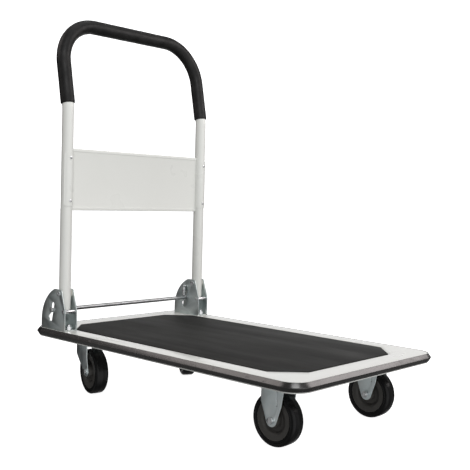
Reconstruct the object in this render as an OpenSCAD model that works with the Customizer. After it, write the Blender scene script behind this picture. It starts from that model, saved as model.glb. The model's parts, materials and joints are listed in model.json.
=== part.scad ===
// Folding platform cart: pressed steel deck on four casters, with a fold-down push handle.
// +X points away from the handle, +Y is the pusher's left, Z = 0 is the floor.

/* [Deck] */
// Overall length over the bumper
deck_length = 840; // [700:5:950]
// Overall width over the bumper
deck_width = 496; // [480:2:520]
// Height of the deck's top face above the floor
deck_top = 150.5; // [145:0.5:160]
// Outer corner radius of the bumper
corner_radius = 45; // [30:1:70]
// Thickness of the pressed steel sheet
sheet = 1.5; // [1:0.1:2]
// Height of the deck's turned-down skirt
skirt_height = 20.5; // [19.5:0.5:21]

/* [Bumper] */
// How far the bumper stands out from the skirt
bumper_depth = 7; // [5:0.5:9]
// Height of the bumper strip
bumper_height = 18; // [14:0.5:19]
// Radius of the bumper's nose
bumper_nose = 3; // [2:0.25:3.5]

/* [Mat] */
// Length of the deck mat
mat_length = 718; // [600:2:760]
// Width of the deck mat
mat_width = 390; // [340:2:394]
// Cut-off at each corner of the mat
mat_chamfer = 55; // [20:1:90]
// Thickness of the mat
mat_thickness = 2; // [1.6:0.1:3]

/* [Handle] */
// Outer diameter of the handle tube
tube_diameter = 28; // [24:0.5:29]
// Wall of the handle tube
tube_wall = 1.5; // [1.2:0.1:2]
// Distance between the two legs, centre to centre
leg_spacing = 440; // [420:2:444]
// Place of the legs along the deck
handle_x = -317; // [-330:1:-300]
// Height at which the legs start to lean back
bend_height = 675; // [640:5:720]
// How far the upper loop leans back, in degrees
lean = 11; // [5:1:16]
// Radius of the bend between leg and loop
bend_radius = 80; // [60:5:120]
// Corner radius of the loop
loop_radius = 102; // [70:2:130]
// Length of the leaning loop from the bend to the top bar
loop_length = 202.5; // [170:1:230]
// Outer diameter of the soft grip
grip_diameter = 34; // [31:0.5:38]

/* [Panel] */
// Height of the panel's lower edge
panel_bottom = 437; // [400:1:460]
// Height of the sheet between the legs
panel_height = 148; // [120:2:180]
// Height of the tabs that wrap the legs
tab_height = 128; // [100:2:140]
// Angle that each tab wraps past the front of its leg
tab_wrap = 60; // [40:1:75]

/* [Hinge bracket] */
// Height of the bracket above the deck
bracket_height = 98.5; // [96:0.5:104]
// Thickness of the bracket's sheet
bracket_sheet = 2.5; // [2:0.1:3]
// Gap between the two cheeks
bracket_gap = 31; // [30:0.5:32]
// Height of the fold pivot above the deck
pivot_height = 88; // [86:0.5:90]
// Diameter of the lock rod
rod_diameter = 10; // [8:0.5:10]
// How far the lock rod is pressed down to release the handle
rod_travel = 20; // [16:0.5:20]

/* [Casters] */
// Wheel diameter
wheel_diameter = 107; // [104:1:108]
// Wheel width
wheel_width = 32; // [28:1:33]
// Fixed casters' place along the deck
front_caster_x = 305; // [280:1:310]
// Swivel casters' place along the deck
rear_caster_x = -298; // [-300:1:-270]
// Half the distance between left and right casters
caster_y = 161; // [150:0.5:165]
// Trail of the swivel casters
trail = 35; // [32:1:40]
// Way the right swivel caster points, in degrees from straight ahead
right_swivel = -14; // [-180:1:180]
// Way the left swivel caster points, in degrees from straight ahead
left_swivel = -32; // [-180:1:180]

/* [Hidden] */
$fn = 64;
eps = 0.01;

// deck
skirt_bottom = deck_top - skirt_height;
pan_length = deck_length - 2 * bumper_depth;
pan_width = deck_width - 2 * bumper_depth;
pan_radius = corner_radius - bumper_depth;
recess_depth = 1.5;
recess_gap = 3;
recess_floor = deck_top - recess_depth;
pan_underside = recess_floor - sheet;

// crossmembers and rails
plate_top = 130;
member_web = 110;
member_flange = 14;
member_sheet = 2;
member_half_width = 205;
rail_y = 70;
rail_width = 30;
rail_depth = 12;

// handle
tube_r = tube_diameter / 2;
grip_r = grip_diameter / 2;
leg_y = leg_spacing / 2;
pivot_z = deck_top + pivot_height;
tube_end = pivot_z - 41.3;
loop_neck = 0.5;
socket_angle = 2.5;
pin_r = 4;
running_gap = 0.05;

// hinge bracket, measured from the leg's centre line and the deck
cheek_in = bracket_gap / 2;
cheek_out = cheek_in + bracket_sheet;
slot_lean = 13;
rod_r = rod_diameter / 2;
rod_home = [-26, 46];
slot_r = rod_r + 0.3;
slot_up = 15;
slot_dir = [-sin(slot_lean), -cos(slot_lean)];
stud_point = [rod_home[0], 78.5];
stop_r = 5;
stop_point = [tube_r + 0.3 + stop_r, 46];
bracket_bolt_x = [18, -48];
spring_y = cheek_out + 5.5;

// casters
wheel_r = wheel_diameter / 2;
axle_z = wheel_r;
tyre_depth = 13;
axle_r = 4;
bush_r = 6;
leg_gap = 37;
leg_sheet = 2.5;
rigid_leg_back = -27;
rigid_leg_front = 31;
rigid_leg_knee = [24, 84];
rigid_end_r = 13;
swivel_leg_back = -25;
swivel_leg_front = 38;
swivel_end_r = 11.5;
leg_kink = 88;
plate_thickness = 2.5;
plate_size = [96, 70];
plate_holes = [76, 46];
plate_hole_r = 4.25;
plate_bottom = plate_top - plate_thickness;
crown_top = 117;
crown_r = 27;
race_r = 19;
ball_r = 3;
ball_z = 121.3;
ball_count = 16;
king_r = 6;

white_paint = [0.9, 0.9, 0.88];
zinc = [0.62, 0.66, 0.66];
steel = [0.75, 0.76, 0.77];
black_rubber = [0.05, 0.05, 0.05];
mat_grey = [0.2, 0.2, 0.2];
core_grey = [0.28, 0.27, 0.26];

// ---------- shared shapes ----------

module rounded_plate(l, w, r) {
    square([l - 2 * r, w], center = true);
    square([l, w - 2 * r], center = true);
    for (x = [-1, 1], y = [-1, 1]) translate([x * (l / 2 - r), y * (w / 2 - r)]) circle(r);
}

module chamfered_plate(l, w, c) {
    x = l / 2;
    y = w / 2;
    polygon([[x, y - c], [x - c, y], [c - x, y], [-x, y - c],
             [-x, c - y], [c - x, -y], [x - c, -y], [x, c - y]]);
}

// extrudes an outline drawn in X and Z, centred on Y = 0
module extrude_y(t) {
    rotate([90, 0, 0]) linear_extrude(t, center = true) children();
}

module rod_y(r, length) {
    rotate([90, 0, 0]) cylinder(r = r, h = length, center = true);
}

module hex(across, h) {
    cylinder(d = across / cos(30), h = h, $fn = 6);
}

module both_sides() {
    for (s = [-1, 1]) scale_y(s) children();
}

module scale_y(s) {
    if (s > 0) children();
    else mirror([0, 1, 0]) children();
}

// the point where a line from p touches a circle, s = 1 or -1 for the side
function tangent(p, c, r, s) =
    let (d = c - p, l = norm(d), a = atan2(d[1], d[0]) + s * asin(r / l))
    p + sqrt(l * l - r * r) * [cos(a), sin(a)];

function arc(c, r, a0, a1, n) = [for (i = [0:n]) let (a = a0 + (a1 - a0) * i / n) c + r * [cos(a), sin(a)]];

// ---------- deck ----------

module deck_pan() {
    color(white_paint) difference() {
        union() {
            difference() {
                translate([0, 0, skirt_bottom]) linear_extrude(skirt_height)
                    rounded_plate(pan_length, pan_width, pan_radius);
                translate([0, 0, skirt_bottom - 1]) linear_extrude(skirt_height - sheet + 1)
                    rounded_plate(pan_length - 2 * sheet, pan_width - 2 * sheet, pan_radius - sheet);
            }
            translate([0, 0, pan_underside]) linear_extrude(recess_depth + sheet / 2)
                chamfered_plate(mat_length + 4 * recess_gap, mat_width + 2.6 * recess_gap, mat_chamfer);
        }
        translate([0, 0, recess_floor]) linear_extrude(recess_depth + 1)
            chamfered_plate(mat_length + 2 * recess_gap, mat_width + 2 * recess_gap, mat_chamfer);
        both_sides() for (x = bracket_bolt_x)
            translate([handle_x + x, leg_y, deck_top - 5]) cylinder(r = plate_hole_r, h = 10);
    }
}

// one hat-section member across the deck; holes take the caster bolts
module crossmember(x) {
    side = pan_underside - plate_top;
    color(white_paint) translate([x, 0, plate_top]) difference() {
        union() {
            translate([-member_web / 2, -member_half_width, 0])
                cube([member_web, 2 * member_half_width, member_sheet]);
            for (s = [-1, 1]) {
                translate([s * (member_web - member_sheet) / 2 - member_sheet / 2, -member_half_width, 0])
                    cube([member_sheet, 2 * member_half_width, side]);
                translate([s * (member_web + member_flange) / 2 - member_flange / 2, -member_half_width,
                           side - member_sheet])
                    cube([member_flange, 2 * member_half_width, member_sheet]);
            }
        }
        both_sides() translate([0, caster_y, -1]) plate_hole_pattern() cylinder(r = plate_hole_r, h = 5);
    }
}

module deck_rails() {
    start = rear_caster_x + member_web / 2 + member_flange + 3;
    end = front_caster_x - member_web / 2 - member_flange - 3;
    color(white_paint) both_sides() translate([start, rail_y - rail_width / 2, pan_underside - rail_depth])
        difference() {
            cube([end - start, rail_width, rail_depth]);
            translate([-1, member_sheet, member_sheet])
                cube([end - start + 2, rail_width - 2 * member_sheet, rail_depth]);
        }
}

// the strip's section: flat against the skirt, with two slopes that meet in a rounded nose
module bumper_section() {
    low = [2, 0];
    high = [0.6, bumper_height];
    nose = [bumper_depth - bumper_nose, bumper_height / 2];
    polygon([[0, 0], low, tangent(low, nose, bumper_nose, -1), nose,
             tangent(high, nose, bumper_nose, 1), high, [0, bumper_height]]);
    translate(nose) circle(bumper_nose);
}

module bumper() {
    x = pan_length / 2;
    y = pan_width / 2;
    color(black_rubber) translate([0, 0, deck_top - bumper_height]) {
        for (a = [0, 180]) {
            rotate(a) translate([x, y - pan_radius, 0]) rotate([90, 0, 0])
                linear_extrude(2 * (y - pan_radius)) bumper_section();
            rotate(a) translate([x - pan_radius, y, 0]) rotate([90, 0, -90]) mirror([1, 0, 0])
                linear_extrude(2 * (x - pan_radius)) bumper_section();
        }
        for (i = [0:3]) {
            corner = [(i == 0 || i == 3) ? 1 : -1, i < 2 ? 1 : -1];
            translate([corner[0] * (x - pan_radius), corner[1] * (y - pan_radius), 0]) rotate(90 * i)
                rotate_extrude(angle = 90) translate([pan_radius, 0]) bumper_section();
        }
    }
}

module deck_mat() {
    color(mat_grey) translate([0, 0, recess_floor]) linear_extrude(mat_thickness)
        chamfered_plate(mat_length, mat_width, mat_chamfer);
}

// ---------- hinge brackets and lock ----------

// side view of a cheek; X from the leg's centre line, Y up from the deck
module cheek_outline() {
    back_c = [16, 20];
    back_r = 85;
    top_c = [5, bracket_height - 8];
    intersection() {
        union() {
            translate(back_c) circle(back_r, $fn = 128);
            translate([-69, 0]) square([96, back_c[1]]);
        }
        polygon(concat([[-69, 0], [26.5, 0], [26.5, 49]], arc(top_c, 8, 15, 90, 6), [[-69, bracket_height]]));
    }
}

module rod_slot() {
    top = rod_home - slot_up * slot_dir;
    foot = rod_home + (rod_travel + 2) * slot_dir;
    notch = rod_home + 16 * slot_dir - [4, 0];
    translate(top) circle(slot_r);
    translate(foot) circle(slot_r);
    translate(notch) circle(slot_r);
    translate(foot) rotate(-slot_lean) translate([-slot_r, 0]) square([2 * slot_r, slot_up + rod_travel + 2]);
}

module bracket() {
    color(zinc) translate([handle_x, leg_y, deck_top]) difference() {
        union() {
            translate([-69, -cheek_out, 0]) cube([95.5, 2 * cheek_out, bracket_sheet]);
            for (s = [-1, 1]) translate([0, s * (cheek_in + bracket_sheet / 2), 0])
                extrude_y(bracket_sheet) difference() {
                    cheek_outline();
                    rod_slot();
                    translate([0, pivot_height]) circle(pin_r + running_gap);
                    translate(stop_point) circle(stop_r);
                }
        }
        for (x = bracket_bolt_x) translate([x, 0, -1]) cylinder(r = plate_hole_r, h = 5);
        translate([stud_point[0], 0, stud_point[1]]) mirror([0, 1, 0]) rotate([-90, 0, 0])
            cylinder(r = 2, h = cheek_out + 1);
    }
}

// coach bolts up through the deck, at the feet of both brackets
module bracket_bolts() {
    color(steel) both_sides() for (x = bracket_bolt_x) translate([handle_x + x, leg_y, 0]) {
        translate([0, 0, deck_top - sheet - 3]) cylinder(r = 8, h = 3);
        translate([0, 0, deck_top - sheet - eps]) cylinder(r = 4, h = 16.5);
    }
}

module bracket_nuts() {
    base = deck_top + bracket_sheet;
    color(steel) both_sides() for (x = bracket_bolt_x) translate([handle_x + x, leg_y, base]) difference() {
        union() {
            cylinder(r = 8, h = 1.6);
            translate([0, 0, 1.6 - eps]) hex(13, 6.5);
        }
        translate([0, 0, -1]) cylinder(r = 4, h = 12);
    }
}

// tubular pins with a head outside each cheek
module pivot_pins() {
    head = 1.2;
    color(steel) both_sides() translate([handle_x, leg_y, pivot_z]) difference() {
        union() {
            rod_y(pin_r, 2 * cheek_out + 2 * eps);
            for (s = [-1, 1]) translate([0, s * (cheek_out + head / 2), 0]) rod_y(6.5, head);
        }
        rod_y(2.5, 60);
    }
}

module pivot_washers() {
    t = cheek_in - tube_r - 0.3;
    color("whitesmoke") both_sides() translate([handle_x, leg_y, pivot_z]) for (s = [-1, 1])
        translate([0, s * (cheek_in - t / 2), 0]) difference() {
            rod_y(9, t);
            rod_y(pin_r, t + 1);
        }
}

module stop_pins() {
    color(steel) both_sides() translate([handle_x + stop_point[0], leg_y, deck_top + stop_point[1]])
        rod_y(stop_r, 2 * cheek_out + 1);
}

module at_rod_home(y = 0) {
    translate([handle_x + rod_home[0], y, deck_top + rod_home[1]]) children();
}

module lock_rod() {
    color(steel) at_rod_home() difference() {
        rod_y(rod_r, 2 * (leg_y + cheek_out + 4));
        both_sides() translate([0, leg_y + cheek_out + 1.4, 0]) difference() {
            rod_y(rod_r + 1, 1.2);
            rod_y(rod_r - 1, 2);
        }
    }
}

// spring clips in the grooves at the rod's ends
module rod_clips() {
    color("dimgray") both_sides() at_rod_home(leg_y + cheek_out + 1.4) difference() {
        rod_y(rod_r + 2.5, 1.2);
        rod_y(rod_r - 1, 2);
        translate([0, -2, -10]) cube([12, 4, 10 - 2]);
    }
}

// tension spring from a stud on the inner cheek down to the rod
module spring() {
    wire = 1.3;
    coil_r = 3.9;
    rod_loop = rod_r + 0.5 + wire / 2;
    stud_loop = 2.8;
    neck = 1.2;
    low = rod_loop;
    stud_z = stud_point[1] - rod_home[1];
    high = stud_z - stud_loop - neck;
    turns = floor((high - low) / wire);
    color(steel) at_rod_home(leg_y - spring_y) {
        rotate([90, 0, 0]) rotate_extrude() translate([rod_loop, 0]) circle(wire / 2, $fn = 24);
        translate([0, 0, stud_z]) rotate([90, 0, 0]) rotate_extrude()
            translate([stud_loop, 0]) circle(wire / 2, $fn = 24);
        rotate_extrude() {
            translate([coil_r - wire / 4, low - wire / 2]) square([wire / 2, high - low + wire]);
            for (i = [0:turns]) translate([coil_r, low + i * (high - low) / turns]) circle(wire / 2, $fn = 24);
        }
        for (span = [[low - wire / 2, wire], [high - wire / 2, wire + neck]]) translate([0, 0, span[0]])
            linear_extrude(span[1]) square([2 * coil_r, wire], center = true);
    }
}

module spring_studs() {
    inner = spring_y + 3;
    color(steel) both_sides() translate([handle_x + rod_home[0], leg_y, deck_top + stud_point[1]])
        mirror([0, 1, 0]) rotate([-90, 0, 0]) {
            translate([0, 0, cheek_out]) cylinder(r = 2, h = inner - cheek_out);
            translate([0, 0, inner - eps]) cylinder(r = 3.2, h = 1.2);
            translate([0, 0, cheek_out]) cylinder(r = 3.2, h = 1);
        }
}

// ---------- handle ----------

// a bent length of round bar, from angle a0 to a1
module bend(path_r, r, a0, a1) {
    rotate(a0) rotate_extrude(angle = a1 - a0) translate([path_r, 0]) circle(r);
}

// everything above the bend leans back about the bend's centre
module leaning() {
    translate([handle_x - bend_radius, 0, bend_height]) rotate([0, -lean, 0]) translate([bend_radius, 0, 0])
        children();
}

// round bar along both sides, corners and top of the leaning loop
module loop_path(r) {
    side = loop_length - loop_radius;
    leaning() {
        both_sides() {
            translate([0, leg_y, 0]) cylinder(r = r, h = side);
            translate([0, leg_y - loop_radius, side]) rotate([90, 0, 90]) bend(loop_radius, r, 0, 90);
        }
        translate([0, 0, loop_length]) rod_y(r, 2 * (leg_y - loop_radius));
    }
}

// the loop is necked down to plug into the bent tops of the legs, under the grip
module tube_path(inset, end) {
    r = tube_r - inset;
    loop_path(r - loop_neck);
    for (s = [-1, 1]) translate([handle_x, s * leg_y, end]) {
        cylinder(r = r, h = bend_height - end);
        translate([-bend_radius, 0, bend_height - end]) rotate([90, 0, 0])
            bend(bend_radius, r, 0, lean + socket_angle);
    }
}

module handle_tube() {
    color(white_paint) difference() {
        tube_path(0, tube_end);
        tube_path(tube_wall, tube_end - 1);
        both_sides() translate([handle_x, leg_y, pivot_z]) rod_y(pin_r + running_gap, 40);
    }
}

module handle_grip() {
    color(black_rubber) difference() {
        loop_path(grip_r);
        tube_path(0, bend_height - 1);
    }
}

module tab_blank() {
    r = 8;
    z = panel_bottom + panel_height / 2;
    translate([handle_x - 2, 0, z]) rotate([90, 0, 90]) linear_extrude(tube_r + 8)
        rounded_plate(leg_spacing + 2 * tube_r + 4, tab_height, r);
}

// flat sheet with folded hems, and a curved tab round the front of each leg
module handle_panel() {
    t = 1.2;
    hem = 10;
    half = leg_y - tube_r;
    shell = tube_r + 0.05;
    color(white_paint) {
        difference() {
            union() {
                translate([handle_x - t / 2, -half, panel_bottom]) cube([t, 2 * half, panel_height]);
                for (z = [panel_bottom, panel_bottom + panel_height - hem])
                    translate([handle_x - 1.5 * t, 4 - half, z]) cube([t + eps, 2 * half - 8, hem]);
                intersection() {
                    both_sides() translate([handle_x, leg_y, panel_bottom]) rotate(-92)
                        rotate_extrude(angle = 92 + tab_wrap) translate([shell, 0])
                            square([t, panel_height]);
                    tab_blank();
                }
            }
            both_sides() for (z = rivet_heights()) translate([handle_x + 8, leg_y, z])
                rotate([0, 90, 0]) cylinder(r = 2, h = 12);
        }
    }
}

function rivet_heights() = [for (s = [-1, 1]) panel_bottom + panel_height / 2 + s * 51];

module panel_rivets() {
    color(steel) both_sides() for (z = rivet_heights()) translate([handle_x + tube_r, leg_y, z])
        rotate([0, 90, 0]) {
            translate([0, 0, 1.25]) cylinder(r = 3.5, h = 1);
            translate([0, 0, 0.1]) cylinder(r = 2, h = 1.3);
        }
}

// ---------- casters ----------

module plate_hole_pattern() {
    for (x = [-0.5, 0.5], y = [-0.5, 0.5]) translate([x * plate_holes[0], y * plate_holes[1], 0]) children();
}

// caster top plate with its four bolt holes, centred on the caster
module top_plate() {
    translate([0, 0, plate_bottom]) difference() {
        linear_extrude(plate_thickness) rounded_plate(plate_size[0], plate_size[1], 7);
        translate([0, 0, -1]) plate_hole_pattern() cylinder(r = plate_hole_r, h = 5);
    }
}

// one pressed fork leg seen along Y: down to the kink and the knee, then in to a round end at the axle
module leg_outline(back, front, knee, top, axle_x, end_r) {
    c = [axle_x, axle_z];
    kink = [back, leg_kink];
    polygon([[back, top], kink, tangent(kink, c, end_r, -1), c,
             tangent(knee, c, end_r, 1), knee, [front, top]]);
    translate(c) circle(end_r);
}

module fork_legs(back, front, knee, top, axle_x, end_r) {
    for (s = [-1, 1]) translate([0, s * (leg_gap + leg_sheet) / 2, 0]) extrude_y(leg_sheet) difference() {
        leg_outline(back, front, knee, top, axle_x, end_r);
        translate([axle_x, axle_z]) circle(axle_r + running_gap);
    }
}

// each leg has a pressed groove near its front edge
module rigid_fork() {
    groove = [3, 3.2, 29];
    color(zinc) difference() {
        union() {
            top_plate();
            fork_legs(rigid_leg_back, rigid_leg_front, rigid_leg_knee, plate_bottom + eps, 0, rigid_end_r);
        }
        for (s = [-1, 1]) translate([13, s * (leg_gap / 2 + leg_sheet), 97]) cube(groove, center = true);
    }
}

module race_groove(gap) {
    translate([0, 0, ball_z]) rotate_extrude() translate([race_r, 0]) circle(ball_r + gap, $fn = 48);
}

module swivel_plate() {
    color(zinc) difference() {
        union() {
            top_plate();
            translate([0, 0, ball_z + 0.3]) cylinder(r = crown_r, h = plate_bottom - ball_z);
            difference() {
                translate([0, 0, crown_top + 0.8])
                    cylinder(r = crown_r + 3, h = plate_bottom - crown_top - 0.5);
                translate([0, 0, crown_top]) cylinder(r = crown_r + 1.2, h = ball_z - crown_top + 1);
            }
        }
        race_groove(running_gap);
        translate([0, 0, crown_top]) cylinder(r = king_r, h = 20);
    }
}

module king_pin() {
    color(steel) {
        translate([0, 0, 106]) cylinder(r = king_r, h = plate_top - 106);
        translate([0, 0, 113.4]) cylinder(r = 11, h = 1);
        translate([0, 0, 107.5]) hex(18, 6);
    }
}

module bearing_ring() {
    color(steel) for (i = [0:ball_count - 1]) rotate(i * 360 / ball_count)
        translate([race_r, 0, ball_z]) sphere(r = ball_r, $fn = 32);
}

module swivel_fork() {
    color(zinc) difference() {
        union() {
            translate([0, 0, crown_top - leg_sheet]) {
                cylinder(r = crown_r, h = leg_sheet);
                translate([swivel_leg_back, -leg_gap / 2 - leg_sheet, 0])
                    cube([swivel_leg_front - swivel_leg_back, leg_gap + 2 * leg_sheet, leg_sheet]);
            }
            translate([0, 0, crown_top - eps]) cylinder(r = crown_r, h = ball_z - 0.7 - crown_top);
            fork_legs(swivel_leg_back, swivel_leg_front, [swivel_leg_front, leg_kink], crown_top, trail,
                      swivel_end_r);
        }
        race_groove(running_gap + 0.03);
        translate([0, 0, 100]) cylinder(r = king_r + running_gap, h = 30);
    }
}

// hexagon-headed axle bolt along Y
module axle_bolt(x) {
    length = leg_gap + 2 * leg_sheet;
    color(steel) translate([x, 0, axle_z]) {
        translate([0, 4, 0]) rod_y(axle_r, length + 8 + 2 * eps);
        translate([0, -length / 2, 0]) rotate([90, 0, 0]) hex(13, 5.3);
    }
}

module axle_nut(x) {
    color(steel) translate([x, leg_gap / 2 + leg_sheet, axle_z]) rotate([-90, 0, 0]) difference() {
        union() {
            hex(13, 5.5);
            translate([0, 0, 5.4]) cylinder(r = 5.4, h = 1.6);
        }
        translate([0, 0, -1]) cylinder(r = axle_r, h = 12);
    }
}

module spin_y() {
    rotate([90, 0, 0]) rotate_extrude($fn = 96) children();
}

// moulded rubber tyre, rounded at the shoulders
module tyre() {
    r = 7;
    w = wheel_width / 2;
    color(black_rubber) spin_y() {
        translate([wheel_r - tyre_depth, -w]) square([tyre_depth - r, wheel_width]);
        translate([wheel_r - r - eps, r - w]) square([r + eps, wheel_width - 2 * r]);
        for (s = [-1, 1]) intersection() {
            translate([wheel_r - r, s * (w - r)]) circle(r);
            translate([wheel_r - r - 1, -w]) square([r + 1, wheel_width]);
        }
    }
}

// plastic centre: hub, thin web and dished rim
module core() {
    rim_out = wheel_r - tyre_depth;
    hub_half = leg_gap / 2 - 0.8;
    rim_half = wheel_width / 2 - 1.75;
    web_half = 4.5;
    half = [[bush_r, hub_half], [14, hub_half], [15, web_half], [rim_out - 17, web_half],
            [rim_out - 14, rim_half - 3], [rim_out - 10, rim_half], [rim_out, rim_half]];
    last = len(half) - 1;
    mirrored = [for (i = [0:last]) [half[last - i][0], -half[last - i][1]]];
    color(core_grey) spin_y() polygon(concat(half, mirrored));
}

module bush() {
    color(steel) spin_y() translate([axle_r + running_gap, 0.4 - leg_gap / 2])
        square([bush_r - axle_r - running_gap, leg_gap - 0.8]);
}

// ---------- places ----------

module at_front(side) {
    translate([front_caster_x, side * caster_y, 0]) children();
}

module at_rear(side, angle = 0) {
    translate([rear_caster_x, side * caster_y, 0]) rotate(angle) children();
}

module at_front_wheel(side) {
    at_front(side) translate([0, 0, axle_z]) children();
}

module at_rear_wheel(side) {
    at_rear(side, side > 0 ? left_swivel : right_swivel) translate([trail, 0, axle_z]) children();
}

module each_caster() {
    for (s = [-1, 1]) {
        at_front(s) children();
        at_rear(s) children();
    }
}

module caster_bolts() {
    color(steel) each_caster() plate_hole_pattern() {
        translate([0, 0, plate_bottom - 5.3]) hex(13, 5.3);
        translate([0, 0, plate_bottom - eps]) cylinder(r = 4, h = 14);
    }
}

module caster_nuts() {
    color(steel) each_caster() plate_hole_pattern() translate([0, 0, plate_top + member_sheet]) difference() {
        hex(13, 6.5);
        translate([0, 0, -1]) cylinder(r = 4, h = 9);
    }
}

deck_pan();
crossmember(front_caster_x);  // front_crossmember
crossmember(rear_caster_x);  // rear_crossmember
deck_rails();
bumper();
deck_mat();
bracket();  // bracket_left
mirror([0, 1, 0]) bracket();  // bracket_right
bracket_bolts();
bracket_nuts();
pivot_pins();
pivot_washers();
stop_pins();
lock_rod();
rod_clips();
spring();  // spring_left
mirror([0, 1, 0]) spring();  // spring_right
spring_studs();
handle_tube();
handle_grip();
handle_panel();
panel_rivets();
at_front(1) rigid_fork();  // rigid_fork_left
at_front(-1) rigid_fork();  // rigid_fork_right
both_sides() at_front(1) mirror([0, 1, 0]) axle_bolt(0);  // rigid_axles
both_sides() at_front(1) mirror([0, 1, 0]) axle_nut(0);  // rigid_axle_nuts
at_rear(1) swivel_plate();  // swivel_plate_left
at_rear(-1) swivel_plate();  // swivel_plate_right
for (s = [-1, 1]) at_rear(s) king_pin();  // king_pins
for (s = [-1, 1]) at_rear(s) bearing_ring();  // bearing_balls
at_rear(1, left_swivel) swivel_fork();  // swivel_fork_left
at_rear(-1, right_swivel) swivel_fork();  // swivel_fork_right
at_rear(1, left_swivel) mirror([0, 1, 0]) axle_bolt(trail);  // swivel_axle_left
at_rear(-1, right_swivel) axle_bolt(trail);  // swivel_axle_right
at_rear(1, left_swivel) mirror([0, 1, 0]) axle_nut(trail);  // swivel_nut_left
at_rear(-1, right_swivel) axle_nut(trail);  // swivel_nut_right
caster_bolts();
caster_nuts();
at_front_wheel(1) tyre();  // tyre_front_left
at_front_wheel(-1) tyre();  // tyre_front_right
at_rear_wheel(1) tyre();  // tyre_rear_left
at_rear_wheel(-1) tyre();  // tyre_rear_right
at_front_wheel(1) core();  // core_front_left
at_front_wheel(-1) core();  // core_front_right
at_rear_wheel(1) core();  // core_rear_left
at_rear_wheel(-1) core();  // core_rear_right
at_front_wheel(1) bush();  // bush_front_left
at_front_wheel(-1) bush();  // bush_front_right
at_rear_wheel(1) bush();  // bush_rear_left
at_rear_wheel(-1) bush();  // bush_rear_right
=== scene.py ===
import json
import math

import bmesh
import bpy
from mathutils import Matrix, Vector


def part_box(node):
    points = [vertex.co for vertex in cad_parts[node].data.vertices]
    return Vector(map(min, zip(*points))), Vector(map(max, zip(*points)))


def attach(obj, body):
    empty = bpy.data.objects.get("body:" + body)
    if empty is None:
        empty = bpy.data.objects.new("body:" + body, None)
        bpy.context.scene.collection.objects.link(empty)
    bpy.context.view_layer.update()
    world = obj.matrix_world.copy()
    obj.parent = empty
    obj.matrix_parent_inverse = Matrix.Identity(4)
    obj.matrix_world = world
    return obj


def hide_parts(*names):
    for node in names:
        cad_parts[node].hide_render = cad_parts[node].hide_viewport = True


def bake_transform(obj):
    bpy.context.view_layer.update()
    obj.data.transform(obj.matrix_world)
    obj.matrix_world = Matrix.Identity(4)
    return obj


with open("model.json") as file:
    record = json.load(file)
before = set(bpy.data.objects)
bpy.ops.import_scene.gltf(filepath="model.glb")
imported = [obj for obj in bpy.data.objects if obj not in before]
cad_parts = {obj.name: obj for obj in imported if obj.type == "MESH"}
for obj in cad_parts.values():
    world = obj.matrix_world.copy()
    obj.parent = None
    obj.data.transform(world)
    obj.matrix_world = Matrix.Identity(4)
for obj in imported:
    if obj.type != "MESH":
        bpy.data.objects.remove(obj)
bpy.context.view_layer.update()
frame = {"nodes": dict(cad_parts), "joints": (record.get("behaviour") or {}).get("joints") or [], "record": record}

MM = 0.001
UP = Vector((0, 0, 1))
LEFT = Vector((0, 1, 0))
SIDES = {"left": 1, "right": -1}
NODES = frame["nodes"]
JOINTS = {j["name"]: j for j in frame["joints"]}
SLOT_OF = {s["node"]: s["material_slot"] for s in frame["record"]["subparts"]}
BODY_OF = {n: b for b, names in frame["record"]["behaviour"]["bodies"].items() for n in names}


# ---------- camera and lights ----------

def make_camera(at, heading, dip, roll, lens):
    forward = Vector((-math.cos(heading) * math.cos(dip), math.sin(heading) * math.cos(dip), -math.sin(dip)))
    right = forward.cross(UP).normalized()
    down = forward.cross(right)
    right, down = (math.cos(roll) * right + math.sin(roll) * down,
                   math.cos(roll) * down - math.sin(roll) * right)
    camera = bpy.data.objects.new("camera", bpy.data.cameras.new("camera"))
    camera.matrix_world = Matrix.Translation(at) @ Matrix((right, -down, -forward)).transposed().to_4x4()
    camera.data.lens = lens
    camera.data.sensor_width = 36
    camera.data.clip_end = 200
    bpy.context.scene.collection.objects.link(camera)
    bpy.context.scene.camera = camera


def make_light(name, at, aim, size, power, colour=(1, 1, 1)):
    light = bpy.data.objects.new(name, bpy.data.lights.new(name, "AREA"))
    light.data.shape = "RECTANGLE"
    light.data.size, light.data.size_y = size
    light.data.energy = power
    light.data.color = colour
    light.location = at
    light.rotation_euler = (Vector(aim) - Vector(at)).to_track_quat("-Z", "Y").to_euler()
    light.visible_camera = False
    bpy.context.scene.collection.objects.link(light)


# ---------- materials ----------

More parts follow.
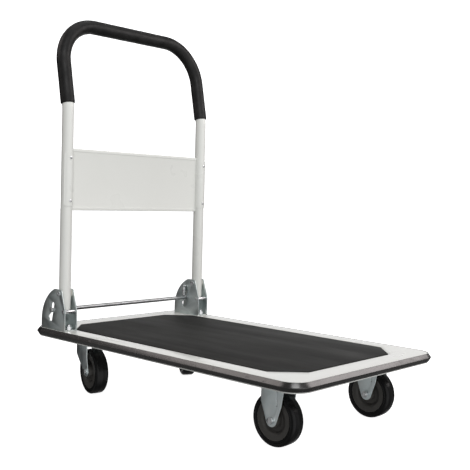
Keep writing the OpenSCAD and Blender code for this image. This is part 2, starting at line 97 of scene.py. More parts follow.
class Shade:
    """One procedural material, built up from a few noise layers in the object's own coordinates.

    The colour and roughness it starts with are what a plain viewer shows; the layers take their place.
    """

    def __init__(self, name, colour, roughness, metallic=0.0, **settings):
        self.material = bpy.data.materials.new(name)
        self.material.use_nodes = True
        self.tree = self.material.node_tree
        self.shader = self.tree.nodes["Principled BSDF"]
        self.shader.inputs["Base Color"].default_value = (*colour, 1)
        self.shader.inputs["Roughness"].default_value = roughness
        self.shader.inputs["Metallic"].default_value = metallic
        for socket, value in settings.items():
            self.shader.inputs[socket.replace("_", " ")].default_value = value
        self.place = self.add("ShaderNodeTexCoord").outputs["Object"]
        self.normal = None

    def add(self, kind, **settings):
        node = self.tree.nodes.new(kind)
        for key, value in settings.items():
            setattr(node, key, value)
        return node

    def wire(self, value, socket):
        if isinstance(value, bpy.types.NodeSocket):
            self.tree.links.new(value, socket)
        else:
            socket.default_value = value

    def stretched(self, stretch):
        mapping = self.add("ShaderNodeMapping")
        self.wire(self.place, mapping.inputs["Vector"])
        mapping.inputs["Scale"].default_value = stretch
        return mapping.outputs["Vector"]

    def noise(self, scale, detail=3.0, stretch=(1, 1, 1), distortion=0.0):
        node = self.add("ShaderNodeTexNoise")
        self.wire(self.stretched(stretch), node.inputs["Vector"])
        node.inputs["Scale"].default_value = scale
        node.inputs["Detail"].default_value = detail
        node.inputs["Distortion"].default_value = distortion
        return node.outputs["Fac"]

    def cells(self, scale):
        node = self.add("ShaderNodeTexVoronoi")
        self.wire(self.place, node.inputs["Vector"])
        node.inputs["Scale"].default_value = scale
        return node.outputs["Distance"]

    def spread(self, value, low, high, to_low=0.0, to_high=1.0):
        """Stretches a value from low..high to to_low..to_high, and keeps it inside."""
        node = self.add("ShaderNodeMapRange")
        self.wire(value, node.inputs["Value"])
        for socket, number in zip(("From Min", "From Max", "To Min", "To Max"), (low, high, to_low, to_high)):
            node.inputs[socket].default_value = number
        return node.outputs["Result"]

    def maths(self, operation, a, b):
        node = self.add("ShaderNodeMath", operation=operation)
        self.wire(a, node.inputs[0])
        self.wire(b, node.inputs[1])
        return node.outputs[0]

    def blend(self, share, colour_a, colour_b):
        node = self.add("ShaderNodeMix", data_type="RGBA")
        self.wire(share, node.inputs["Factor"])
        for value, socket in ((colour_a, node.inputs["A"]), (colour_b, node.inputs["B"])):
            self.wire(value if isinstance(value, bpy.types.NodeSocket) else (*value, 1), socket)
        return node.outputs["Result"]

    def edges(self, radius):
        """1 along a sharp edge, 0 on an open face."""
        bevel = self.add("ShaderNodeBevel", samples=4)
        bevel.inputs["Radius"].default_value = radius
        dot = self.add("ShaderNodeVectorMath", operation="DOT_PRODUCT")
        self.wire(bevel.outputs["Normal"], dot.inputs[0])
        self.wire(self.add("ShaderNodeNewGeometry").outputs["Normal"], dot.inputs[1])
        return self.spread(dot.outputs["Value"], 0.99, 0.86)

    def painted_crevice_shade(self, reach):
        """1 deep in a narrow groove or corner, 0 on an open face; a mask for painting shade into hollows."""
        node = self.add("ShaderNodeAmbientOcclusion", samples=8, only_local=True)
        node.inputs["Distance"].default_value = reach
        return self.spread(node.outputs["AO"], 0.8, 0.3)

    def colour(self, value):
        self.wire(value, self.shader.inputs["Base Color"])

    def roughness(self, value):
        self.wire(value, self.shader.inputs["Roughness"])

    def bump(self, height, depth, strength=1.0):
        node = self.add("ShaderNodeBump")
        node.inputs["Strength"].default_value = strength
        node.inputs["Distance"].default_value = depth
        self.wire(height, node.inputs["Height"])
        if self.normal:
            self.wire(self.normal, node.inputs["Normal"])
        self.normal = node.outputs["Normal"]
        self.wire(self.normal, self.shader.inputs["Normal"])


def white_paint():
    """Glossy powder coat: slight orange peel, faint dirt, thin worn edges."""
    s = Shade("white_powder_coat", (0.74, 0.74, 0.71), 0.28, Coat_Weight=0.3, Coat_Roughness=0.08)
    dirt = s.spread(s.noise(9, 4), 0.45, 0.8)
    tone = s.blend(s.maths("MULTIPLY", dirt, 0.08), (0.73, 0.74, 0.71), (0.6, 0.59, 0.55))
    worn = s.maths("MULTIPLY", s.edges(0.6 * MM), s.spread(s.noise(40, 3), 0.56, 0.7))
    s.colour(s.blend(s.maths("MULTIPLY", worn, 0.3), tone, (0.4, 0.39, 0.37)))
    s.roughness(s.spread(s.noise(12, 2), 0.3, 0.7, 0.27, 0.3))
    s.bump(s.noise(260, 1), 0.01 * MM, 0.06)
    return s.material


def plated_sheet(name, dark, light, stain, shine):
    """Zinc plating on pressed steel: blue-green clouds, faint rolling marks, bright worn edges, and painted shade
    that darkens its grooves and corners.
    """
    s = Shade(name, light, 0.38, 1.0)
    tone = s.blend(s.spread(s.noise(34, 4, distortion=0.6), 0.3, 0.72), dark, light)
    warm = s.maths("MULTIPLY", s.spread(s.noise(17, 3), 0.5, 0.72), 0.3)
    tone = s.blend(warm, tone, stain)
    tone = s.blend(s.maths("MULTIPLY", s.edges(0.5 * MM), shine), tone, (0.86, 0.88, 0.87))
    # painted shade: grooves and corners darkened towards near black, where light would not reach
    s.colour(s.blend(s.painted_crevice_shade(4 * MM), tone, (0.05, 0.05, 0.05)))
    s.roughness(s.spread(s.noise(60, 4), 0.3, 0.7, 0.32, 0.48))
    s.bump(s.noise(700, 3, stretch=(1, 1, 6)), 0.02 * MM, 0.25)
    s.bump(s.noise(55, 3), 0.06 * MM, 0.12)
    return s.material


def zinc_plate():
    return plated_sheet("zinc_plated_steel", (0.58, 0.64, 0.64), (0.72, 0.77, 0.76), (0.62, 0.57, 0.48), 0.6)


# A lighter copy of the zinc plate for the forks: painted light, standing in for light that reaches the forks from
# below
def fork_zinc_painted_light():
    return plated_sheet("lightened_zinc_plate", (0.8, 0.89, 0.9), (0.92, 0.98, 0.98), (0.82, 0.82, 0.78), 0.2)


def turned_steel(name, dark, light, rough):
    """Plated steel with faint clouds and fine marks."""
    s = Shade(name, light, rough, 1.0)
    tone = s.blend(s.spread(s.noise(70, 4), 0.35, 0.7), dark, light)
    s.colour(s.blend(s.edges(0.3 * MM), tone, (0.88, 0.88, 0.88)))
    s.roughness(s.spread(s.noise(160, 3), 0.3, 0.7, rough - 0.07, rough + 0.07))
    s.bump(s.noise(900, 2), 0.01 * MM, 0.25)
    return s.material


def bright_steel():
    return turned_steel("bright_plated_steel", (0.62, 0.63, 0.64), (0.8, 0.81, 0.82), 0.27)


def rod_steel():
    return turned_steel("drawn_rod_steel", (0.38, 0.39, 0.395), (0.5, 0.51, 0.52), 0.42)


def white_nylon():
    s = Shade("white_nylon", (0.78, 0.77, 0.72), 0.5)
    s.colour(s.blend(s.noise(80, 3), (0.8, 0.79, 0.75), (0.68, 0.66, 0.6)))
    s.roughness(s.spread(s.noise(200, 2), 0.3, 0.7, 0.4, 0.6))
    s.bump(s.noise(600, 2), 0.04 * MM, 0.4)
    return s.material


def bumper_rubber():
    """Shiny black moulded rubber, lightly scuffed and dusty."""
    s = Shade("bumper_rubber", (0.03, 0.025, 0.024), 0.22, Specular_IOR_Level=0.95)
    scuff = s.spread(s.noise(45, 6, stretch=(1, 1, 3)), 0.6, 0.75)
    tone = s.blend(s.spread(s.noise(5, 2), 0.35, 0.65), (0.01, 0.0085, 0.008), (0.018, 0.015, 0.014))
    s.colour(s.blend(s.maths("MULTIPLY", scuff, 0.2), tone, (0.15, 0.135, 0.13)))
    s.roughness(s.maths("ADD", s.spread(s.noise(25, 4), 0.3, 0.7, 0.2, 0.3), s.maths("MULTIPLY", scuff, 0.2)))
    s.bump(s.noise(260, 3), 0.04 * MM, 0.25)
    s.bump(s.noise(22, 1), 0.3 * MM, 0.12)
    return s.material


def mat_vinyl():
    """Charcoal sheet: fine pebble grain and long faint streaks down the deck."""
    s = Shade("mat_vinyl", (0.032, 0.032, 0.031), 0.7, Specular_IOR_Level=0.1)
    streak = s.spread(s.noise(26, 5, stretch=(0.08, 1, 1)), 0.35, 0.7)
    tone = s.blend(streak, (0.02, 0.02, 0.0195), (0.03, 0.03, 0.029))
    tone = s.blend(s.maths("MULTIPLY", s.spread(s.noise(7, 4), 0.5, 0.75), 0.35), tone, (0.052, 0.051, 0.048))
    s.colour(tone)
    s.roughness(s.spread(s.noise(18, 5, stretch=(0.2, 1, 1)), 0.3, 0.7, 0.62, 0.76))
    s.bump(s.cells(620), 0.12 * MM, 0.35)
    s.bump(s.noise(9, 2), 0.8 * MM, 0.15)
    return s.material


def grip_rubber():
    """Soft black sleeve with a leathery skin."""
    s = Shade("grip_rubber", (0.009, 0.009, 0.009), 0.45, Specular_IOR_Level=0.22)
    s.colour(s.blend(s.spread(s.noise(30, 5), 0.4, 0.75), (0.007, 0.007, 0.007), (0.019, 0.0185, 0.018)))
    s.roughness(s.spread(s.noise(50, 4), 0.3, 0.7, 0.38, 0.54))
    s.bump(s.cells(520), 0.12 * MM, 0.3)
    s.bump(s.noise(110, 4), 0.15 * MM, 0.25)
    return s.material


def tyre_rubber():
    """Black tyre: satin rubber, greyer in random dusty patches."""
    s = Shade("tyre_rubber", (0.009, 0.009, 0.009), 0.34, Specular_IOR_Level=0.22)
    dust = s.spread(s.noise(55, 6), 0.5, 0.8)
    s.colour(s.blend(s.maths("MULTIPLY", dust, 0.3), (0.004, 0.004, 0.0044), (0.018, 0.018, 0.0175)))
    s.roughness(s.spread(s.noise(40, 4), 0.3, 0.7, 0.2, 0.32))
    s.bump(s.noise(500, 3), 0.05 * MM, 0.3)
    s.bump(s.noise(60, 2), 0.12 * MM, 0.15)
    return s.material


def wheel_plastic():
    """Dark grey moulded plastic with a fine spark-eroded texture, and a painted highlight that lightens its rims
    and edges.
    """
    s = Shade("wheel_plastic", (0.06, 0.056, 0.053), 0.5, Specular_IOR_Level=0.35)
    tone = s.blend(s.noise(45, 5), (0.045, 0.043, 0.04), (0.075, 0.071, 0.066))
    # painted highlight: edges within 1.6 mm lightened, standing in for light caught on the rim's bead
    s.colour(s.blend(s.edges(1.6 * MM), tone, (0.17, 0.163, 0.152)))
    s.roughness(s.spread(s.noise(90, 4), 0.3, 0.7, 0.42, 0.6))
    s.bump(s.noise(900, 3), 0.06 * MM, 0.4)
    return s.material


MATERIALS = {make.__name__: make() for make in (
    white_paint, zinc_plate, fork_zinc_painted_light, bright_steel, rod_steel, white_nylon, bumper_rubber, mat_vinyl,
    grip_rubber, tyre_rubber, wheel_plastic)}


# ---------- mesh helpers ----------

def smooth_by_angle(mesh, degrees):
    mesh.polygons.foreach_set("use_smooth", [True] * len(mesh.polygons))
    mesh.set_sharp_from_angle(angle=math.radians(degrees))


def add_piece(name, body, slot, replaces, mesh, degrees=35, look=None):
    """Puts a finished mesh in the scene as a piece that rides on a body and stands for CAD nodes.

    Edges sharper than the given degrees stay sharp. The look is a material other than the slot's own.
    """
    fixer = bmesh.new()
    fixer.from_mesh(mesh)
    bmesh.ops.recalc_face_normals(fixer, faces=fixer.faces)
    fixer.to_mesh(mesh)
    fixer.free()
    smooth_by_angle(mesh, degrees)
    mesh.materials.clear()
    mesh.materials.append(MATERIALS[look or slot])
    piece = bpy.data.objects.new(name, mesh)
    bpy.context.scene.collection.objects.link(piece)
    if body:
        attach(piece, body)
    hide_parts(*replaces)
    return piece


def loft(rings, around=False):
    """A mesh through rings of points, capped, or round to the first ring again if around is set."""
    count = len(rings[0])
    points = [p for ring in rings for p in ring]
    faces = []
    for i in range(len(rings) if around else len(rings) - 1):
        a, b = i * count, (i + 1) % len(rings) * count
        faces += [(a + j, a + (j + 1) % count, b + (j + 1) % count, b + j) for j in range(count)]
    if not around:
        faces += [tuple(range(count)), tuple(range(len(points) - count, len(points)))]
    mesh = bpy.data.meshes.new("loft")
    mesh.from_pydata(points, [], faces)
    return mesh


def joined(meshes):
    """Several meshes as one."""
    whole = bmesh.new()
    for mesh in meshes:
        whole.from_mesh(mesh)
    out = bpy.data.meshes.new("joined")
    whole.to_mesh(out)
    whole.free()
    return out


def rounded_path(corners, radii, step_degrees=6):
    """Straight runs between corners, each corner turned into an arc of its radius (0 keeps it sharp)."""
    path = []
    for i, corner in enumerate(corners):
        corner = Vector(corner)
        if i in (0, len(corners) - 1) or radii[i] == 0:
            path.append(corner)
            continue
        back = (Vector(corners[i - 1]) - corner).normalized()
        ahead = (Vector(corners[i + 1]) - corner).normalized()
        turn = math.pi - back.angle(ahead)
        reach = radii[i] * math.tan(turn / 2)
        middle = (back + ahead).normalized()
        centre = corner + middle * (radii[i] / math.cos(turn / 2))
        start, end = corner + back * reach - centre, corner + ahead * reach - centre
        steps = max(2, round(math.degrees(turn) / step_degrees))
        for k in range(steps + 1):
            a = turn * k / steps
            path.append(centre + (start * math.sin(turn - a) + end * math.sin(a)) / math.sin(turn))
    return path


def rings_along(path, radii, sides):
    """Circles across a path, without twist."""
    rings = []
    across = None
    for i, point in enumerate(path):
        along = (path[min(i + 1, len(path) - 1)] - path[max(i - 1, 0)]).normalized()
        if across is None:
            across = along.cross(LEFT)
            across = across if across.length > 0.1 else along.orthogonal()
        across = (across - along * across.dot(along)).normalized()
        other = along.cross(across)
        radius = radii[i] if isinstance(radii, list) else radii
        rings.append([point + radius * (math.cos(a) * across + math.sin(a) * other)
                      for a in (2 * math.pi * k / sides for k in range(sides))])
    return rings


def lathe(profile, centre, axis, steps=96):
    """Turns a closed outline of (radius, distance along the axis) about an axis."""
    axis = Vector(axis).normalized()
    u = axis.cross(UP).normalized()
    v = axis.cross(u)
    rings = []
    for k in range(steps):
        a = 2 * math.pi * k / steps
        out = math.cos(a) * u + math.sin(a) * v
        rings.append([Vector(centre) + out * p[0] + axis * p[1] for p in profile])
    return loft(rings, around=True)


def flat_profile(corners, radii, step_degrees=15):
    """A closed outline in two dimensions with rounded corners."""
    count = len(corners)
    outline = []
    for i in range(count):
        trio = [(*corners[(i + d) % count], 0) for d in (-1, 0, 1)]
        part = rounded_path(trio, [0, radii[i], 0], step_degrees)[1:-1] if radii[i] else [Vector(trio[1])]
        outline += [(p.x, p.y) for p in part]
    return outline


def softened(node, width):
    """A CAD node's mesh with its sharp edges rounded, as pressed, cut or turned metal has them."""
    flat_angle = math.radians(0.2)
    sharp_angle = math.radians(35)
    work = bmesh.new()
    work.from_mesh(NODES[node].data)
    bmesh.ops.remove_doubles(work, verts=work.verts, dist=0.001 * MM)
    bmesh.ops.dissolve_limit(work, angle_limit=flat_angle, verts=work.verts, edges=work.edges)
    sharp = [e for e in work.edges if len(e.link_faces) == 2 and e.calc_face_angle(0) > sharp_angle]
    bmesh.ops.bevel(work, geom=sharp, offset=width, segments=2, profile=0.5, affect="EDGES",
                    clamp_overlap=False)
    mesh = bpy.data.meshes.new(node + "_softened")
    work.to_mesh(mesh)
    work.free()
    return mesh


# ---------- sizes, from the frame ----------

bumper_low, bumper_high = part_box("bumper")
pan_low, pan_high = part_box("deck_pan")
mat_low, mat_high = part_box("deck_mat")
DECK_TOP = pan_high.z
BUMPER_DEPTH = bumper_high.x - pan_high.x
BUMPER_NOSE = 1.8 * MM
CORNER_RADIUS = 45 * MM
SHEET = 1.5 * MM
MAT_CHAMFER = 55 * MM
RECESS_GAP = 3 * MM
TUBE_RADIUS = 14 * MM
TUBE_WALL = 1.5 * MM
GRIP_RADIUS = 17 * MM
BEND_HEIGHT = 675 * MM
BEND_RADIUS = 80 * MM
LOOP_RADIUS = 102 * MM
LOOP_LENGTH = 202.5 * MM
PANEL_SHEET = 1.2 * MM
TAB_HEIGHT = 128 * MM
TAB_CORNER = 8 * MM
TAB_WRAP = 60
TAB_FLARE = 1.1 * MM
LEAN = math.radians(11)
HANDLE_X = JOINTS["handle_fold"]["pos_m"][0]
LEG_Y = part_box("handle_tube")[1].y - TUBE_RADIUS


# ---------- deck ----------

def deck_outline(inset, z, corner_steps=24):
    """The deck's rounded rectangle, inset from the bumper's outer face."""
    radius = max(CORNER_RADIUS - inset, 1 * MM)
    x = bumper_high.x - inset - radius
    y = bumper_high.y - inset - radius
    ring = []
    for quarter, (sx, sy) in enumerate(((1, 1), (-1, 1), (-1, -1), (1, -1))):
        for k in range(corner_steps + 1):
            a = math.radians(90 * (quarter + k / corner_steps))
            ring.append(Vector((sx * x + radius * math.cos(a), sy * y + radius * math.sin(a), z)))
    return ring


def mat_outline(grow, z, rounding=2 * MM):
    """The mat's outline with its cut-off corners, grown outwards."""
    x = mat_high.x + grow
    y = mat_high.y + grow
    cut = MAT_CHAMFER + grow * (2 - math.sqrt(2))
    corners = [(x, y - cut), (x - cut, y), (cut - x, y), (-x, y - cut),
               (-x, cut - y), (cut - x, -y), (x - cut, -y), (x, cut - y)]
    return [Vector((px, py, z)) for px, py in flat_profile(corners, [rounding] * 8, 15)]


def deck_tray():
    """Pressed tray: rolled outer edge, flat rim, soft step down to the mat's recess."""
    edge = 3.5 * MM
    skirt = [(BUMPER_DEPTH, pan_low.z), (BUMPER_DEPTH, DECK_TOP - edge)]
    skirt += [(BUMPER_DEPTH + edge * (1 - math.cos(a)), DECK_TOP - edge + edge * math.sin(a))
              for a in (math.radians(15 * k) for k in range(1, 7))]
    outer = [deck_outline(inset, z) for inset, z in skirt]
    drop = DECK_TOP - mat_low.z
    step_width = 2.2 * MM
    step = []
    for k in range(9):
        t = k / 8
        fall = drop * (3 * t * t - 2 * t ** 3)
        step.append(mat_outline(RECESS_GAP + step_width * (1 - t), DECK_TOP - fall))
    shell = bmesh.new()

    def strip(rings):
        rows = [[shell.verts.new(p) for p in ring] for ring in rings]
        for low, high in zip(rows, rows[1:]):
            for j in range(len(low)):
                k = (j + 1) % len(low)
                shell.faces.new((low[j], low[k], high[k], high[j]))
        return rows

    rim = strip(outer)[-1]
    rows = strip(step)
    inner = rows[0]
    shell.faces.new(rows[-1])
    loops = [shell.edges.get((ring[j], ring[(j + 1) % len(ring)])) for ring in (rim, inner)
             for j in range(len(ring))]
    bmesh.ops.triangle_fill(shell, edges=loops, use_beauty=True, normal=UP)
    bmesh.ops.recalc_face_normals(shell, faces=shell.faces)
    if sum(f.normal.z * f.calc_area() for f in shell.faces) < 0:
        bmesh.ops.reverse_faces(shell, faces=shell.faces)
    mesh = bpy.data.meshes.new("deck_tray")
    shell.to_mesh(mesh)
    shell.free()
    holder = bpy.data.objects.new("tray_shell", mesh)
    bpy.context.scene.collection.objects.link(holder)
    solid = holder.modifiers.new("thickness", "SOLIDIFY")
    solid.thickness = SHEET
    solid.offset = -1
    solid.use_even_offset = True
    bpy.context.view_layer.update()
    thick = bpy.data.meshes.new_from_object(holder.evaluated_get(bpy.context.evaluated_depsgraph_get()))
    bpy.data.objects.remove(holder)
    return thick


def bumper_strip():
    """Moulded strip: two slopes that meet in a rounded nose, a soft top edge and a flat back."""
    middle = (bumper_low.z + bumper_high.z) / 2
    foot = BUMPER_DEPTH - 2 * MM
    brow = BUMPER_DEPTH - 0.6 * MM
    back = BUMPER_DEPTH + 0.3 * MM
    tip = -0.5 * MM
    edge = 0.8 * MM
    corners = [(BUMPER_DEPTH, bumper_low.z), (foot, bumper_low.z), (tip, middle), (brow, bumper_high.z),
               (back, bumper_high.z), (back, middle)]
    section = flat_profile(corners, [0, edge, BUMPER_NOSE, edge, 0, 0], 12)
    return loft([deck_outline(inset, z) for inset, z in section], around=True)


def deck_mat():
    """Sheet with a rounded upper edge."""
    edge = 0.6 * MM
    rings = [mat_outline(0, mat_low.z), mat_outline(0, mat_high.z - edge)]
    for k in range(1, 5):
        a = math.radians(22.5 * k)
        rings.append(mat_outline(-edge * (1 - math.cos(a)), mat_high.z - edge * (1 - math.sin(a))))
    return loft(rings)


add_piece("deck_tray", "deck", "white_paint", ["deck_pan"], deck_tray())
add_piece("bumper_strip", "deck", "bumper_rubber", ["bumper"], bumper_strip(), 50)
add_piece("mat_sheet", "deck", "mat_vinyl", ["deck_mat"], deck_mat(), 50)


# ---------- handle ----------

def leaning_point(y, along):
    """A point of the leaning loop, at this distance up from the end of the bend."""
    bend_end = Vector((HANDLE_X - BEND_RADIUS * (1 - math.cos(LEAN)), 0,
                       BEND_HEIGHT + BEND_RADIUS * math.sin(LEAN)))
    return bend_end + Vector((-math.sin(LEAN) * along, y, math.cos(LEAN) * along))


def dense(path, gap):
    """The same path with points no further apart than gap."""
    out = [path[0]]
    for a, b in zip(path, path[1:]):
        count = max(1, math.ceil((b - a).length / gap))
        out += [a.lerp(b, k / count) for k in range(1, count + 1)]
    return out


def handle_tube():
    """Two legs and the leaning loop, one bent tube with open ends."""
    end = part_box("handle_tube")[0].z
    reach = BEND_RADIUS * math.tan(LEAN / 2)
    corners, radii = [], []
    for side in (-1, 1):
        half = [Vector((HANDLE_X, side * LEG_Y, end)), Vector((HANDLE_X, side * LEG_Y, BEND_HEIGHT + reach)),
                leaning_point(side * LEG_Y, LOOP_LENGTH)]
        corners += half if side < 0 else half[::-1]
        radii += [0, BEND_RADIUS, LOOP_RADIUS] if side < 0 else [LOOP_RADIUS, BEND_RADIUS, 0]
    path = rounded_path(corners, radii, 3)
    outer = rings_along(path, TUBE_RADIUS, 64)
    inner = rings_along(path, TUBE_RADIUS - TUBE_WALL, 64)
    return loft(outer + inner[::-1], around=True)


def grip_sleeve():
    """Thick sleeve over the loop, with rolled ends and a slightly uneven skin."""
    corners = [leaning_point(-LEG_Y, 0), leaning_point(-LEG_Y, LOOP_LENGTH),
               leaning_point(LEG_Y, LOOP_LENGTH), leaning_point(LEG_Y, 0)]
    path = dense(rounded_path(corners, [0, LOOP_RADIUS, LOOP_RADIUS, 0], 3), 6 * MM)
    travel = [0.0]
    for a, b in zip(path, path[1:]):
        travel.append(travel[-1] + (b - a).length)
    roll = 2.5 * MM
    lengths = [roll * (1 - math.cos(math.radians(18 * k))) for k in range(6)]
    start = [path[0] + (path[1] - path[0]).normalized() * d for d in lengths]
    stop = [path[-1] + (path[-2] - path[-1]).normalized() * d for d in lengths]
    ends = [GRIP_RADIUS - roll * (1 - math.sin(math.radians(18 * k))) for k in range(6)]
    middle = [p for p, t in zip(path, travel) if roll * 1.5 < t < travel[-1] - roll * 1.5]
    ripple = 0.12 * MM
    skin = [GRIP_RADIUS + ripple * math.sin(0.9 * i) * math.sin(0.37 * i + 1) for i in range(len(middle))]
    full = start + middle + stop[::-1]
    outer = rings_along(full, ends + skin + ends[::-1], 64)
    inner = rings_along([path[0]] + middle + [path[-1]], TUBE_RADIUS + 0.05 * MM, 64)
    return loft(outer + inner[::-1], around=True)


def strip_of(section, y_from, y_to):
    """A closed outline in X and Z, drawn out along Y."""
    return loft([[Vector((x, y, z)) for x, z in section] for y in (y_from, y_to)])


def handle_panel():
    """Sheet between the legs with rolled hems, and a tab that wraps the front of each leg."""
    low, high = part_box("handle_panel")
    half = LEG_Y - TUBE_RADIUS
    t = PANEL_SHEET
    bead = 0.9 * MM
    hem = 7 * MM
    front = HANDLE_X + t / 2
    back = HANDLE_X - t / 2
    corners = [(front, low.z + hem + bead), (front + bead, low.z + hem), (front + bead, low.z),
               (back - t, low.z), (back - t, low.z + hem), (back, low.z + hem)]
    radii = [0.4 * MM, 0.4 * MM, 1.2 * MM, 1.1 * MM, 0.3 * MM, 0]
    turned = [(x, low.z + high.z - z) for x, z in corners[::-1]]
    sheet = strip_of(flat_profile(corners + turned, radii + radii[::-1], 20), -half, half)
    middle = (low.z + high.z) / 2
    edge = 0.35 * MM
    gap = 0.06 * MM
    corner_start = TUBE_RADIUS + 2 * MM - TAB_CORNER
    flared_steps = 7
    tabs = []
    for sy in SIDES.values():
        rings = []
        for k in range(77):
            a = math.radians(TAB_WRAP - 2 * k)
            flare = TAB_FLARE * max(0.0, 1 - k / flared_steps) ** 2
            shell = TUBE_RADIUS + gap + flare
            reach = shell + t
            over = max(0.0, reach * math.sin(a) - corner_start)
            tall = TAB_HEIGHT / 2 - TAB_CORNER + math.sqrt(TAB_CORNER ** 2 - over ** 2)
            outline = [(shell, -tall), (reach - edge, -tall), (reach, edge - tall), (reach, tall - edge),
                       (reach - edge, tall), (shell, tall)]
            rings.append([Vector((HANDLE_X + r * math.cos(a), sy * (LEG_Y + r * math.sin(a)), middle + z))
                          for r, z in outline])
        tabs.append(loft(rings))
    return joined([sheet] + tabs)


def lock_rod():
    """Plain bar with chamfered ends and a groove for the clip at each end."""
    low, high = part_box("lock_rod")
    radius = (high.z - low.z) / 2
    end = high.y
    chamfer = 0.8 * MM
    core = 0.01 * MM
    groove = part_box("rod_clips")[1].y
    groove_end = groove - 1.2 * MM
    groove_radius = radius - 1 * MM
    half = [(core, end), (radius - chamfer, end), (radius, end - chamfer), (radius, groove),
            (groove_radius, groove), (groove_radius, groove_end), (radius, groove_end)]
    profile = half + [(r, -y) for r, y in reversed(half)]
    return lathe(profile, ((low.x + high.x) / 2, 0, (low.z + high.z) / 2), (0, 1, 0), 48)


add_piece("folded_panel", "handle", "white_paint", ["handle_panel"], handle_panel(), 30)
add_piece("turned_lock_rod", "lock_bar", "bright_steel", ["lock_rod"], lock_rod(), 30, "rod_steel")
add_piece("push_handle", "handle", "white_paint", ["handle_tube"], handle_tube(), 40)
add_piece("grip_sleeve", "handle", "grip_rubber", ["handle_grip"], grip_sleeve(), 60)


# ---------- wheels ----------

WHEEL_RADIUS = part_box("tyre_front_right")[1].z / 2
TYRE_HEIGHT = 13 * MM
RIM_RADIUS = WHEEL_RADIUS - TYRE_HEIGHT


def tyre_outline():
    """Half the tyre's section, then its mirror: bead, sidewall ring, shoulder, tread, parting line."""
    outer = WHEEL_RADIUS
    bead = RIM_RADIUS
    half = 16 * MM
    ridge = 0.15 * MM
    one = [(bead, half - 1.2 * MM), (bead + 1.5 * MM, half - 0.3 * MM), (bead + 4 * MM, half - 0.2 * MM),
           (bead + 4.6 * MM, half - 0.7 * MM), (bead + 5.2 * MM, half)]
    shoulder = 6.5 * MM
    one += [(outer - ridge - shoulder * (1 - math.sin(a)), half - shoulder * (1 - math.cos(a)))
            for a in (math.radians(12 * k) for k in range(1, 8))]
    one += [(outer - ridge, 0.8 * MM), (outer, 0.35 * MM)]
    return one + [(r, -y) for r, y in reversed(one)]


def core_outline():
    """Moulded centre: bushed hub, thin web and a dished rim, with soft corners."""
    rim = RIM_RADIUS
    bore = 6 * MM
    hub_half = 17.7 * MM
    web_half = 4.5 * MM
    rim_half = 14.25 * MM
    half = [(bore, hub_half), (14 * MM, hub_half), (15 * MM, web_half), (rim - 17 * MM, web_half),
            (rim - 14 * MM, 11.5 * MM), (rim - 10 * MM, rim_half), (rim, rim_half)]
    corners = half + [(r, -y) for r, y in reversed(half)]
    radii = [0.5 * MM, 1.2 * MM, 2 * MM, 2 * MM, 1.5 * MM, 1.2 * MM, 0]
    return flat_profile(corners, radii + radii[::-1], 20)


WHEEL_PARTS = (("tyre", "tyre_rubber", tyre_outline), ("core", "wheel_plastic", core_outline))
for place in ("front_left", "front_right", "rear_left", "rear_right"):
    spin = JOINTS["wheel_" + place + "_spin"]
    for part, slot, outline in WHEEL_PARTS:
        node = part + "_" + place
        turned = lathe(outline(), spin["pos_m"], spin["axis"], 128)
        add_piece("moulded_" + node, "wheel_" + place, slot, [node], turned, 30)


# ---------- springs ----------

def arc(centre, radius, start, step, count):
    """Points of an arc in the XZ plane, with its start and step in degrees."""
    angles = [math.radians(start + step * k) for k in range(count)]
    return [centre + Vector((radius * math.cos(a), 0, radius * math.sin(a))) for a in angles]


def spring_coil(side):
    """Tension spring and its two ends: a ring round the rod, close coils, and a ring round the stud."""
    low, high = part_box("spring_" + side)
    wire = 0.65 * MM
    pitch = 2.15 * wire
    rod_loop = 6.15 * MM
    stud_loop = 2.8 * MM
    coil = 3.9 * MM
    turn_steps = 16
    middle = (low + high) / 2
    rod = Vector((middle.x, middle.y, low.z + rod_loop + wire))
    stud = Vector((middle.x, middle.y, high.z - stud_loop - wire))
    bottom = rod.z + rod_loop
    top = stud.z - stud_loop
    steps = math.floor((top - bottom) / pitch) * turn_steps
    points = arc(rod, rod_loop, 150, 8.33, 37)
    for k in range(steps + 1):
        a = 2 * math.pi * k / turn_steps + math.pi / 2
        points.append(Vector((middle.x + coil * math.cos(a), middle.y + coil * math.sin(a),
                              bottom + (top - bottom) * k / steps)))
    points += arc(stud, stud_loop, -90, 13, 25)
    ends = [Vector((middle.x, middle.y, z)) for z in (top, bottom)]
    return loft(rings_along(points, wire, 10)), ends


for side in SIDES:
    coil_mesh, (held, pulled) = spring_coil(side)
    coil_piece = add_piece("coil_" + side, None, "bright_steel", ["spring_" + side], coil_mesh, 60)
    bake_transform(coil_piece)


# ---------- pressed, cut and turned metal ----------

EDGE_WIDTHS = {
    "zinc_plate": 0.5 * MM,
    "bright_steel": 0.35 * MM,
    "white_paint": 0.35 * MM,
    "white_nylon": 0.2 * MM,
}
SHAPED_ABOVE = {"deck_pan", "handle_tube", "handle_panel", "lock_rod", "spring_left", "spring_right"}
for node, slot in SLOT_OF.items():
    if slot in EDGE_WIDTHS and node not in SHAPED_ABOVE:
        # the forks take the lightened copy of the zinc plate: painted light, not a different plating
        look = "fork_zinc_painted_light" if "_fork_" in node else slot
        mesh = softened(node, EDGE_WIDTHS[slot])
        add_piece(node + "_finished", BODY_OF[node], slot, [node], mesh, look=look)

for node, slot in SLOT_OF.items():
    NODES[node].data.materials.clear()
    NODES[node].data.materials.append(MATERIALS[slot])


# ---------- stage ----------

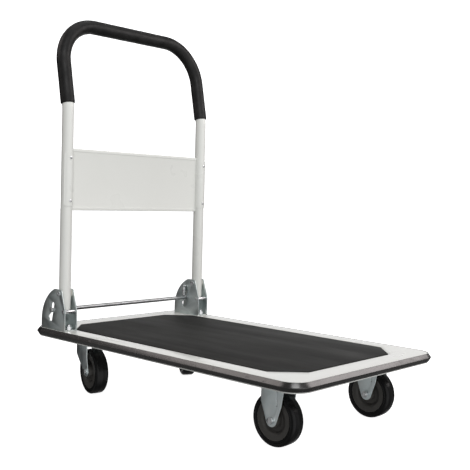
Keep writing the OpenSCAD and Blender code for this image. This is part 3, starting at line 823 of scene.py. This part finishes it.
def stage_sheet(name, points, faces, glow):
    """A plain white sheet that only the camera sees, so that it gives the object no light of its own."""
    mesh = bpy.data.meshes.new(name)
    mesh.from_pydata(points, [], faces)
    sheet = bpy.data.objects.new(name, mesh)
    bpy.context.scene.collection.objects.link(sheet)
    sheet.visible_glossy = False
    sheet.visible_diffuse = False
    pale = Shade("pale_" + name, (0.85, 0.85, 0.85), 0.8, Specular_IOR_Level=0.1, Emission_Strength=glow)
    pale.shader.inputs["Emission Color"].default_value = (1, 1, 1, 1)
    pale.colour(pale.blend(pale.noise(2, 3), (0.84, 0.84, 0.84), (0.87, 0.87, 0.87)))
    mesh.materials.append(pale.material)
    return pale


def make_stage():
    """A floor that shows only from above, and a box of walls far round it."""
    reach = 20
    square = ((-reach, -reach), (reach, -reach), (reach, reach), (-reach, reach))
    corners = [(x, y, z) for z in (-reach, reach) for x, y in square]
    walls = [(0, 1, 2, 3), (4, 5, 6, 7), (0, 1, 5, 4), (1, 2, 6, 5), (2, 3, 7, 6), (3, 0, 4, 7)]
    floor = stage_sheet("floor", [(x, y, 0) for x, y in square], [(0, 1, 2, 3)], 0.93)
    underside = floor.add("ShaderNodeNewGeometry").outputs["Backfacing"]
    floor.wire(floor.maths("SUBTRACT", 1.0, underside), floor.shader.inputs["Alpha"])
    stage_sheet("backdrop", corners, walls, 1.0)


def make_world(heading):
    """The room that lights the object: pale ahead, behind and at the left, with a dark stretch between."""
    world = bpy.data.worlds.new("studio")
    world.use_nodes = True
    tree = world.node_tree
    direction = tree.nodes.new("ShaderNodeTexCoord").outputs["Generated"]

    def towards(degrees, start, stop, low, high):
        """Goes from low to high as a direction nears the one at this angle left of straight ahead."""
        a = math.pi - heading + math.radians(degrees)
        dot = tree.nodes.new("ShaderNodeVectorMath")
        dot.operation = "DOT_PRODUCT"
        dot.inputs[1].default_value = (math.cos(a), math.sin(a), 0)
        tree.links.new(direction, dot.inputs[0])
        ramp = tree.nodes.new("ShaderNodeMapRange")
        ramp.interpolation_type = "SMOOTHSTEP"
        for socket, number in zip(("From Min", "From Max", "To Min", "To Max"), (start, stop, low, high)):
            ramp.inputs[socket].default_value = number
        tree.links.new(dot.outputs["Value"], ramp.inputs["Value"])
        return ramp.outputs["Result"]

    def combined(operation, a, b):
        node = tree.nodes.new("ShaderNodeMath")
        node.operation = operation
        tree.links.new(a, node.inputs[0])
        tree.links.new(b, node.inputs[1])
        return node.outputs[0]

    ahead = towards(0, 0.78, 0.9, DIM, BRIGHT)
    room = towards(-152, 0.3, 0.95, DIM, ROOM)
    side = towards(94, 0.5, 0.95, DIM, SIDE)
    shade = towards(52, 0.8, 0.9, 1.0, DARK)
    level = combined("MAXIMUM", combined("MAXIMUM", ahead, room), side)
    level = combined("MULTIPLY", level, shade)
    background = tree.nodes["Background"]
    background.inputs["Color"].default_value = (1, 1, 1, 1)
    tree.links.new(level, background.inputs["Strength"])
    bpy.context.scene.world = world
    bpy.context.scene.view_settings.view_transform = "Standard"


BRIGHT = 1.05
ROOM = 1.1
SIDE = 0.3
DIM = 0.16
DARK = 0.12
CAMERA_AT = (1.2947, -1.3609, 0.4760)
HEADING = math.radians(47.067)
DIP = math.radians(2.5725)
ROLL = math.radians(-1.5689)
LENS = 62.19

make_camera(CAMERA_AT, HEADING, DIP, ROLL, LENS)
make_stage()
make_world(HEADING)
make_light("key", (1.5, -1.1, 2.2), (0.1, 0, 0.2), (1.2, 1.2), 19)
make_light("overhead", (-0.2, 0.4, 2.5), (0, 0, 0.2), (1.8, 1.4), 8)
make_light("left_rear", (-1.3, -1.2, 1.9), (0.2, -0.2, 0.15), (1.3, 1.0), 9, (1.0, 0.92, 0.89))
make_light("right_rear", (1.35, 1.65, 1.6), (0.4, 0, 0.15), (1.5, 1.4), 22, (1.0, 0.94, 0.93))
